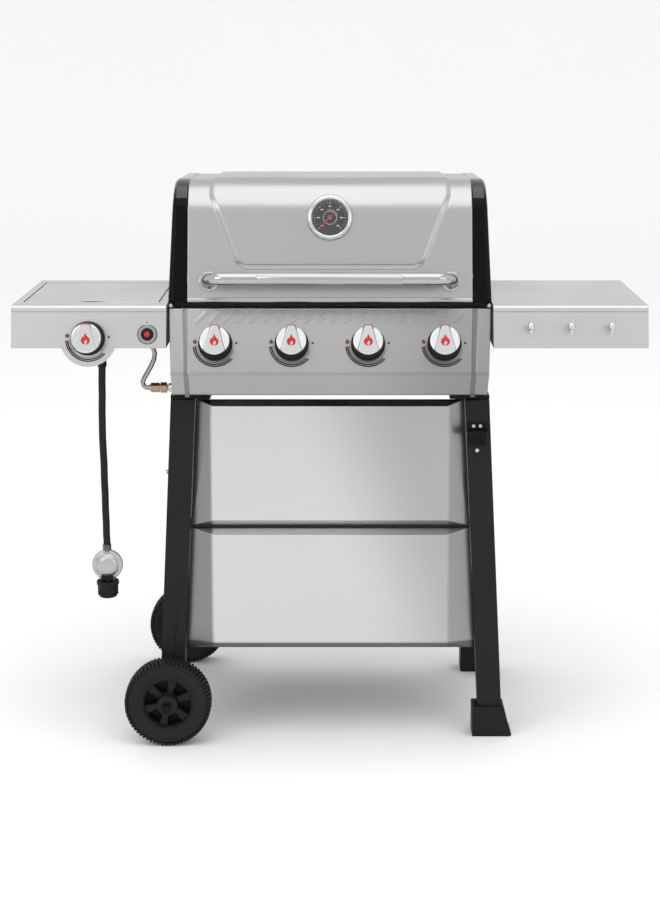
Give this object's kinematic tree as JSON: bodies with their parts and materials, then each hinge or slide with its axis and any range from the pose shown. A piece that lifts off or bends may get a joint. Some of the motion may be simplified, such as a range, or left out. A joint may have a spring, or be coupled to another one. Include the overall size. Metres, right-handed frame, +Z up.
{
  "type": "gas barbecue grill",
  "caption": "Gas grill on a two-wheel leg cart: hinged lid with thermometer, control panel with turning knobs, side shelves, side burner, grease tray, hose and regulator.",
  "frame": {"origin": "on the floor, under the middle of the grill", "axes": "+X to the right seen from the front, -Y to the front, +Z up"},
  "size_m": [1.3, 0.622, 1.177],
  "materials": {
    "dark_coat": "satin powder coat",
    "black_plastic": "moulded",
    "black_coat": "satin",
    "steel": "brushed",
    "knob_silver": "metallised satin",
    "chrome": "polished",
    "brass": "machined",
    "cast_iron": "seasoned",
    "enamel": "gloss enamel",
    "hose_rubber": "matt",
    "zinc": "die cast",
    "needle_red": "satin"
  },
  "bodies": {
    "cart": {"leg_front_left": "dark_coat", "leg_front_right": "dark_coat", "leg_rear_left": "dark_coat", "leg_rear_right": "dark_coat", "cart_rails": "dark_coat", "bottom_shelf": "dark_coat", "firebox": "dark_coat", "side_burner_bowl": "dark_coat", "lid_hinges": "dark_coat", "foot_front": "black_plastic", "foot_rear": "black_plastic", "knob_bezels": "black_plastic", "igniter_bezel": "black_plastic", "axle": "black_coat", "bottle_opener": "black_coat", "body_brackets": "black_coat", "panel_upper": "steel", "panel_lower": "steel", "burners": "steel", "flame_tamers": "steel", "control_panel": "steel", "shelf_left": "steel", "shelf_right": "steel", "knob_plate": "steel", "cart_screws": "chrome", "warming_rack": "chrome", "tool_hooks": "chrome", "gas_tube": "chrome", "manifold": "chrome", "valves": "brass", "gas_fittings": "brass", "inlet_fitting": "brass", "cooking_grates": "cast_iron", "side_burner_head": "cast_iron", "trivet": "cast_iron", "hose": "hose_rubber", "regulator": "zinc"},
    "lid": {"lid_skin": "steel", "lid_cap_left": "enamel", "lid_cap_right": "enamel", "handle_bar": "chrome", "handle_sleeve": "steel", "gauge_case": "chrome"},
    "needle": {"gauge_needle": "needle_red"},
    "wheel_front": {"wheel_front": "black_plastic"},
    "wheel_rear": {"wheel_rear": "black_plastic"},
    "tray": {"grease_tray": "steel"},
    "side_lid": {"side_burner_lid": "steel"},
    "igniter": {"igniter_button": "black_plastic"},
    "regulator_nut": {"regulator_nut": "black_plastic"},
    "stem_1": {"stem_1": "chrome"},
    "knob_1": {"knob_1": "knob_silver"},
    "stem_2": {"stem_2": "chrome"},
    "knob_2": {"knob_2": "knob_silver"},
    "stem_3": {"stem_3": "chrome"},
    "knob_3": {"knob_3": "knob_silver"},
    "stem_4": {"stem_4": "chrome"},
    "knob_4": {"knob_4": "knob_silver"},
    "stem_side": {"stem_side": "chrome"},
    "knob_side": {"knob_side": "knob_silver"}
  },
  "joints": [
    {"name": "lid_hinge", "type": "hinge", "parent": "cart", "child": "lid", "pos_m": [0, 0.226, 0.942], "axis": [-1, 0, 0], "range_deg": [0, 85]},
    {"name": "needle_pivot", "type": "hinge", "parent": "lid", "child": "needle", "pos_m": [0, -0.18587, 1.103], "axis": [0, 0.9781, -0.2079], "range_deg": [0, 270]},
    {"name": "wheel_front_spin", "type": "hinge", "parent": "cart", "child": "wheel_front", "pos_m": [-0.34051, -0.258, 0.091], "axis": [0, 1, 0], "continuous": true},
    {"name": "wheel_rear_spin", "type": "hinge", "parent": "cart", "child": "wheel_rear", "pos_m": [-0.34051, 0.258, 0.091], "axis": [0, 1, 0], "continuous": true},
    {"name": "tray_slide", "type": "slide", "parent": "cart", "child": "tray", "axis": [0, 1, 0], "range_m": [0, 0.26]},
    {"name": "side_lid_hinge", "type": "hinge", "parent": "cart", "child": "side_lid", "pos_m": [-0.493, 0.09, 0.924], "axis": [-1, 0, 0], "range_deg": [0, 100]},
    {"name": "knob_1_push", "type": "slide", "parent": "cart", "child": "stem_1", "axis": [0, 0.9067, -0.4217], "range_m": [0, 0.004], "stiffness_N_per_m": 1500, "springref_m": -0.001},
    {"name": "knob_1_turn", "type": "hinge", "parent": "stem_1", "child": "knob_1", "pos_m": [-0.234, -0.24902, 0.85], "axis": [0, -0.9067, 0.4217], "range_deg": [0, 270]},
    {"name": "knob_2_push", "type": "slide", "parent": "cart", "child": "stem_2", "axis": [0, 0.9067, -0.4217], "range_m": [0, 0.004], "stiffness_N_per_m": 1500, "springref_m": -0.001},
    {"name": "knob_2_turn", "type": "hinge", "parent": "stem_2", "child": "knob_2", "pos_m": [-0.078, -0.24902, 0.85], "axis": [0, -0.9067, 0.4217], "range_deg": [0, 270]},
    {"name": "knob_3_push", "type": "slide", "parent": "cart", "child": "stem_3", "axis": [0, 0.9067, -0.4217], "range_m": [0, 0.004], "stiffness_N_per_m": 1500, "springref_m": -0.001},
    {"name": "knob_3_turn", "type": "hinge", "parent": "stem_3", "child": "knob_3", "pos_m": [0.078, -0.24902, 0.85], "axis": [0, -0.9067, 0.4217], "range_deg": [0, 270]},
    {"name": "knob_4_push", "type": "slide", "parent": "cart", "child": "stem_4", "axis": [0, 0.9067, -0.4217], "range_m": [0, 0.004], "stiffness_N_per_m": 1500, "springref_m": -0.001},
    {"name": "knob_4_turn", "type": "hinge", "parent": "stem_4", "child": "knob_4", "pos_m": [0.234, -0.24902, 0.85], "axis": [0, -0.9067, 0.4217], "range_deg": [0, 270]},
    {"name": "knob_side_push", "type": "slide", "parent": "cart", "child": "stem_side", "axis": [0, 0.9848, -0.1736], "range_m": [0, 0.004], "stiffness_N_per_m": 1500, "springref_m": -0.001},
    {"name": "knob_side_turn", "type": "hinge", "parent": "stem_side", "child": "knob_side", "pos_m": [-0.493, -0.25897, 0.864], "axis": [0, -0.9848, 0.1736], "range_deg": [0, 270]},
    {"name": "igniter_push", "type": "slide", "parent": "cart", "child": "igniter", "axis": [0, 0.9848, -0.1736], "range_m": [0, 0.004], "stiffness_N_per_m": 900, "springref_m": -0.001},
    {"name": "regulator_nut_turn", "type": "hinge", "parent": "cart", "child": "regulator_nut", "pos_m": [-0.466, -0.231, 0.38], "axis": [0, 0, 1], "continuous": true}
  ]
}
